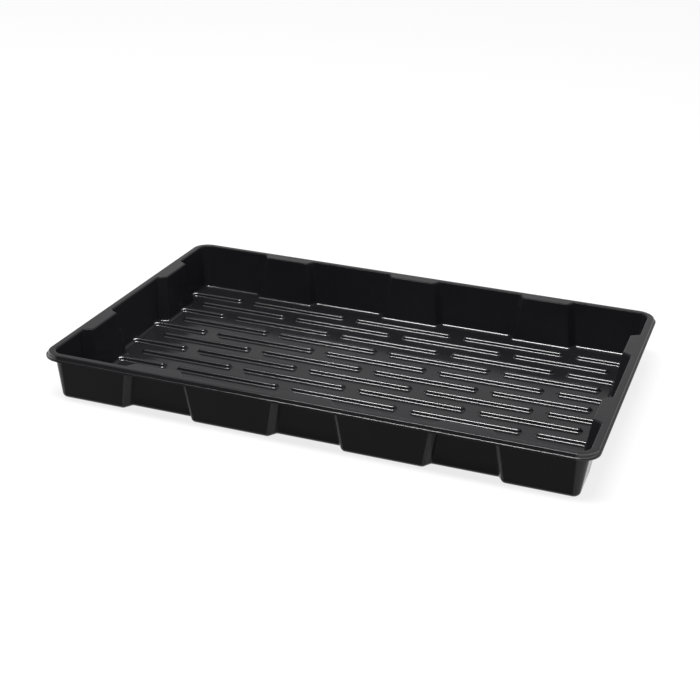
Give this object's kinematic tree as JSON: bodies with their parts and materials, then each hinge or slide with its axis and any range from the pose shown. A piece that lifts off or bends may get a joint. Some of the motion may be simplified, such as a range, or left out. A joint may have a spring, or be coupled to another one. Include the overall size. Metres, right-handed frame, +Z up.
{
  "type": "propagator tray",
  "caption": "Shallow rectangular black plastic propagator tray with stepped walls, a hooked rim and staggered raised ribs on its floor.",
  "frame": {"origin": "on the ground under the middle of the tray", "axes": "+X along the long side to the right, +Y from the front wall to the back wall, +Z up"},
  "size_m": [0.6, 0.4, 0.0555],
  "materials": {
    "tray_plastic": "semi-gloss black, fine grain"
  },
  "bodies": {
    "root": {"base_pan": "tray_plastic", "corner_front_left": "tray_plastic", "corner_front_right": "tray_plastic", "corner_back_left": "tray_plastic", "corner_back_right": "tray_plastic", "rim_front": "tray_plastic", "rim_back": "tray_plastic", "rim_left": "tray_plastic", "rim_right": "tray_plastic", "front_proud_1": "tray_plastic", "front_proud_2": "tray_plastic", "front_proud_3": "tray_plastic", "front_proud_4": "tray_plastic", "back_proud_1": "tray_plastic", "back_proud_2": "tray_plastic", "back_proud_3": "tray_plastic", "back_proud_4": "tray_plastic", "left_proud_1": "tray_plastic", "left_proud_2": "tray_plastic", "left_proud_3": "tray_plastic", "right_proud_1": "tray_plastic", "right_proud_2": "tray_plastic", "right_proud_3": "tray_plastic", "front_recess_1": "tray_plastic", "front_recess_2": "tray_plastic", "front_recess_3": "tray_plastic", "back_recess_1": "tray_plastic", "back_recess_2": "tray_plastic", "back_recess_3": "tray_plastic", "left_recess_1": "tray_plastic", "left_recess_2": "tray_plastic", "right_recess_1": "tray_plastic", "right_recess_2": "tray_plastic", "front_step_1": "tray_plastic", "front_step_2": "tray_plastic", "front_step_3": "tray_plastic", "front_step_4": "tray_plastic", "front_step_5": "tray_plastic", "front_step_6": "tray_plastic", "back_step_1": "tray_plastic", "back_step_2": "tray_plastic", "back_step_3": "tray_plastic", "back_step_4": "tray_plastic", "back_step_5": "tray_plastic", "back_step_6": "tray_plastic", "left_step_1": "tray_plastic", "left_step_2": "tray_plastic", "left_step_3": "tray_plastic", "left_step_4": "tray_plastic", "right_step_1": "tray_plastic", "right_step_2": "tray_plastic", "right_step_3": "tray_plastic", "right_step_4": "tray_plastic"}
  },
  "joints": []
}
